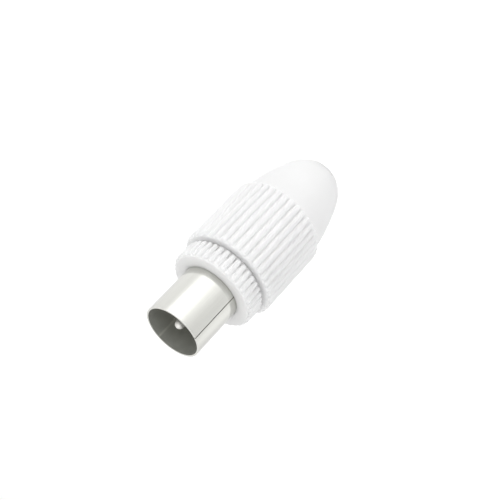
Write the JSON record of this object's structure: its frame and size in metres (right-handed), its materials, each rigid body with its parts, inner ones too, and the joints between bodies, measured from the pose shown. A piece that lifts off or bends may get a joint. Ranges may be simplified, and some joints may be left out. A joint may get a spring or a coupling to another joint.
{
  "type": "coaxial plug",
  "caption": "Television aerial plug with a plated sleeve and centre pin, a ribbed white collar and a bullet-shaped ribbed grip cap that screws on over the cable clamp.",
  "frame": {"origin": "on the plug's axis, at the collar's front face, where the outer contact sleeve leaves it", "axes": "+Z along the plug's axis out of its mouth, -Z towards the cable, with the plug standing on the rim of its cable hole; -Y towards the terminal screw's head"},
  "size_m": [0.0158, 0.0158, 0.0374],
  "materials": {
    "white_plastic": "injection-moulded white plastic with a soft sheen",
    "plated_sheet": "rolled sheet brass, nickel-plated and bright",
    "plated_pin": "turned brass, nickel-plated",
    "natural_plastic": "natural polyethylene, waxy and slightly cloudy",
    "plated_screw": "zinc-plated steel"
  },
  "bodies": {
    "cap": {"grip_cap": "white_plastic"},
    "insert": {"collar": "white_plastic", "contact_sleeve": "plated_sheet", "insulator": "natural_plastic", "centre_pin": "plated_pin"},
    "screw": {"terminal_screw": "plated_screw"}
  },
  "joints": [
    {"name": "insert_draw", "type": "slide", "parent": "cap", "child": "insert", "axis": [0, 0, 1], "range_m": [0, 0.02]},
    {"name": "screw_travel", "type": "slide", "parent": "insert", "child": "screw", "axis": [0, -1, 0], "range_m": [-0.00045, 0.0008]}
  ]
}
